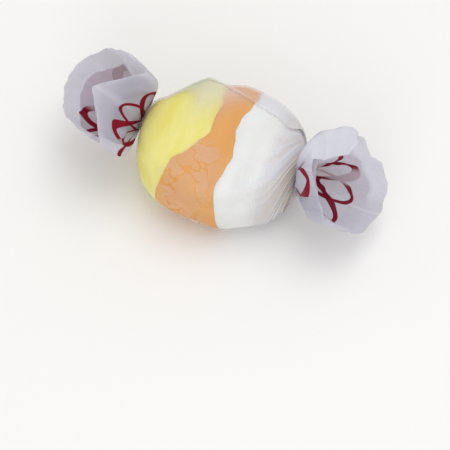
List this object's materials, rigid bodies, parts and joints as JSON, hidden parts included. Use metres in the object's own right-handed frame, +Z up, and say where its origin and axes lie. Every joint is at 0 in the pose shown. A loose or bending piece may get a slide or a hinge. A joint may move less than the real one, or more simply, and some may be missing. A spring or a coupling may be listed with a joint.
{
  "type": "salt water taffy",
  "caption": "One salt water taffy: a yellow, orange and white slice in a waxed paper sheet twisted at both ends, lying on its cut face.",
  "frame": {"origin": "bottom centre of the bounding box, on the surface the wrapped candy lies on", "axes": "+Z up; +X along the line of the two twisted ends, from the yellow end to the white end; +Y away from the viewer in the picture"},
  "size_m": [0.0588, 0.0245, 0.0223],
  "materials": {
    "waxed_paper": "satin",
    "yellow_taffy": "satin",
    "orange_taffy": "satin",
    "white_taffy": "satin"
  },
  "bodies": {
    "root": {"wrapper": "waxed_paper", "taffy_yellow": "yellow_taffy", "taffy_orange": "orange_taffy", "taffy_white": "white_taffy"}
  },
  "joints": []
}
